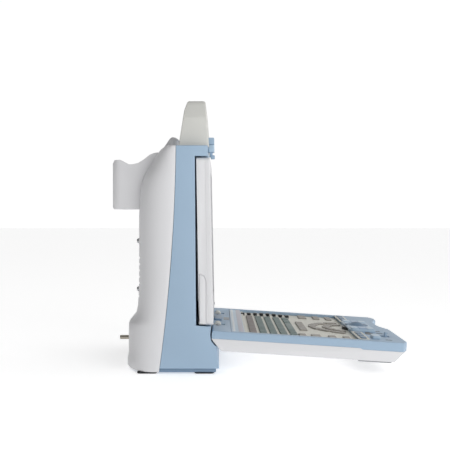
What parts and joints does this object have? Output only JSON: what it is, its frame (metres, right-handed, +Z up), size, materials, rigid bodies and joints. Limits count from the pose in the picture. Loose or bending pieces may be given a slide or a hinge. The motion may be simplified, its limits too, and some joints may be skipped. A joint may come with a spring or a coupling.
{
  "type": "portable ultrasound scanner",
  "caption": "Luggable ultrasound scanner: upright case with a carry handle, a tilting flat display, a fold-down keyboard with trackball, and a probe holder behind.",
  "frame": {"origin": "bottom centre of the whole with the keyboard open", "axes": "+Z up, -Y towards the user, X across the width"},
  "size_m": [0.33, 0.4138, 0.3768],
  "materials": {
    "white_shell": "fine satin texture",
    "blue_shell": "fine satin texture",
    "light_blue_plastic": "satin",
    "slate_plastic": "satin",
    "grey_white_plastic": "fine satin texture",
    "grey_plastic": "satin",
    "black_plastic": "satin",
    "panel_plastic": "satin film",
    "dark_keys": "moulded keys",
    "brown_grey_keys": "moulded keys",
    "grey_keys": "moulded keys",
    "rubber": "matte",
    "nickel": "bright nickel plate",
    "steel": "zinc plated",
    "circuit_board": "solder mask",
    "screen_glass": "dark glossy screen"
  },
  "bodies": {
    "case": {"base_pan": "slate_plastic", "carry_handle": "grey_white_plastic", "case_screws": "steel", "chassis_plate": "steel", "circuit_boards": "circuit_board", "connector_panel": "grey_plastic", "data_ports": "steel", "display_brackets": "steel", "earth_pin": "nickel", "fan_frame": "black_plastic", "fan_guard": "black_plastic", "front_frame": "blue_shell", "keyboard_knuckles": "grey_white_plastic", "latch_hub": "light_blue_plastic", "power_inlet": "black_plastic", "power_supply": "steel", "probe_holder": "white_shell", "probe_sockets": "black_plastic", "rear_cover": "white_shell", "rubber_feet": "rubber", "switch_frame": "black_plastic"},
    "keyboard": {"keyboard_top_shell": "blue_shell", "keyboard_bottom_shell": "white_shell", "key_panel": "panel_plastic", "key_mat": "rubber", "keyboard_board": "circuit_board", "trackball_ring": "light_blue_plastic", "trackball_cup": "black_plastic", "cable_cover": "slate_plastic", "blank_label_plate": "grey_plastic", "keyboard_foot_pad": "rubber", "keyboard_hinge_pins": "steel", "latch_catch": "blue_shell"},
    "display": {"display_bezel": "white_shell", "display_back": "white_shell", "display_hinge_caps": "white_shell", "lcd_panel": "screen_glass", "display_rear_pod": "grey_plastic", "display_pins": "steel"},
    "trackball": {"trackball": "slate_plastic"},
    "power_rocker": {"power_rocker": "black_plastic"},
    "fan_rotor": {"fan_rotor": "black_plastic"},
    "latch_slider": {"latch_slider": "blue_shell"},
    "key_row_1": {"key_row_1": "brown_grey_keys"},
    "key_row_2": {"key_row_2": "dark_keys"},
    "key_row_3": {"key_row_3": "dark_keys"},
    "key_row_4": {"key_row_4": "dark_keys"},
    "key_row_5": {"key_row_5": "dark_keys"},
    "centre_keys": {"centre_keys": "grey_keys"},
    "side_keys": {"side_keys": "grey_keys"},
    "arc_keys": {"arc_keys": "grey_keys"},
    "gain_slider_1": {"gain_slider_1": "black_plastic"},
    "gain_slider_2": {"gain_slider_2": "black_plastic"},
    "gain_slider_3": {"gain_slider_3": "black_plastic"},
    "gain_slider_4": {"gain_slider_4": "black_plastic"},
    "gain_slider_5": {"gain_slider_5": "black_plastic"},
    "gain_slider_6": {"gain_slider_6": "black_plastic"},
    "gain_slider_7": {"gain_slider_7": "black_plastic"},
    "gain_slider_8": {"gain_slider_8": "black_plastic"}
  },
  "joints": [
    {"name": "keyboard_fold", "type": "hinge", "parent": "case", "child": "keyboard", "pos_m": [0, 0.0566, 0.057], "axis": [-1, 0, 0], "range_deg": [0, 93.65]},
    {"name": "display_tilt", "type": "hinge", "parent": "case", "child": "display", "pos_m": [0, 0.0657, 0.0724], "axis": [-1, 0, 0], "range_deg": [-15, 0]},
    {"name": "latch_lift", "type": "slide", "parent": "case", "child": "latch_slider", "axis": [0, 0, 1], "range_m": [0, 0.004], "stiffness_N_per_m": 600, "springref_m": -0.003},
    {"name": "power_rock", "type": "hinge", "parent": "case", "child": "power_rocker", "pos_m": [0.02, 0.179, 0.038], "axis": [-1, 0, 0], "range_deg": [0, 16]},
    {"name": "fan_spin", "type": "hinge", "parent": "case", "child": "fan_rotor", "pos_m": [0, 0.1492, 0.142], "axis": [0, 1, 0], "continuous": true},
    {"name": "trackball_roll", "type": "hinge", "parent": "keyboard", "child": "trackball", "pos_m": [0, -0.15456, 0.03712], "axis": [1, 0, 0], "continuous": true},
    {"name": "key_row_1_press", "type": "slide", "parent": "keyboard", "child": "key_row_1", "axis": [0, 0.0637, -0.998], "range_m": [0, 0.0015], "stiffness_N_per_m": 800, "springref_m": -0.001},
    {"name": "key_row_2_press", "type": "slide", "parent": "keyboard", "child": "key_row_2", "axis": [0, 0.0637, -0.998], "range_m": [0, 0.0015], "stiffness_N_per_m": 800, "springref_m": -0.001},
    {"name": "key_row_3_press", "type": "slide", "parent": "keyboard", "child": "key_row_3", "axis": [0, 0.0637, -0.998], "range_m": [0, 0.0015], "stiffness_N_per_m": 800, "springref_m": -0.001},
    {"name": "key_row_4_press", "type": "slide", "parent": "keyboard", "child": "key_row_4", "axis": [0, 0.0637, -0.998], "range_m": [0, 0.0015], "stiffness_N_per_m": 800, "springref_m": -0.001},
    {"name": "key_row_5_press", "type": "slide", "parent": "keyboard", "child": "key_row_5", "axis": [0, 0.0637, -0.998], "range_m": [0, 0.0015], "stiffness_N_per_m": 800, "springref_m": -0.001},
    {"name": "centre_keys_press", "type": "slide", "parent": "keyboard", "child": "centre_keys", "axis": [0, 0.0637, -0.998], "range_m": [0, 0.0015], "stiffness_N_per_m": 800, "springref_m": -0.001},
    {"name": "side_keys_press", "type": "slide", "parent": "keyboard", "child": "side_keys", "axis": [0, 0.0637, -0.998], "range_m": [0, 0.0015], "stiffness_N_per_m": 800, "springref_m": -0.001},
    {"name": "arc_keys_press", "type": "slide", "parent": "keyboard", "child": "arc_keys", "axis": [0, 0.0637, -0.998], "range_m": [0, 0.0015], "stiffness_N_per_m": 800, "springref_m": -0.001},
    {"name": "gain_slide_1", "type": "slide", "parent": "keyboard", "child": "gain_slider_1", "axis": [1, 0, 0], "range_m": [-0.0093, 0.0273]},
    {"name": "gain_slide_2", "type": "slide", "parent": "keyboard", "child": "gain_slider_2", "axis": [1, 0, 0], "range_m": [-0.0133, 0.0233]},
    {"name": "gain_slide_3", "type": "slide", "parent": "keyboard", "child": "gain_slider_3", "axis": [1, 0, 0], "range_m": [-0.0183, 0.0183]},
    {"name": "gain_slide_4", "type": "slide", "parent": "keyboard", "child": "gain_slider_4", "axis": [1, 0, 0], "range_m": [-0.0213, 0.0153]},
    {"name": "gain_slide_5", "type": "slide", "parent": "keyboard", "child": "gain_slider_5", "axis": [1, 0, 0], "range_m": [-0.0243, 0.0123]},
    {"name": "gain_slide_6", "type": "slide", "parent": "keyboard", "child": "gain_slider_6", "axis": [1, 0, 0], "range_m": [-0.0213, 0.0153]},
    {"name": "gain_slide_7", "type": "slide", "parent": "keyboard", "child": "gain_slider_7", "axis": [1, 0, 0], "range_m": [-0.0163, 0.0203]},
    {"name": "gain_slide_8", "type": "slide", "parent": "keyboard", "child": "gain_slider_8", "axis": [1, 0, 0], "range_m": [-0.0123, 0.0243]}
  ]
}
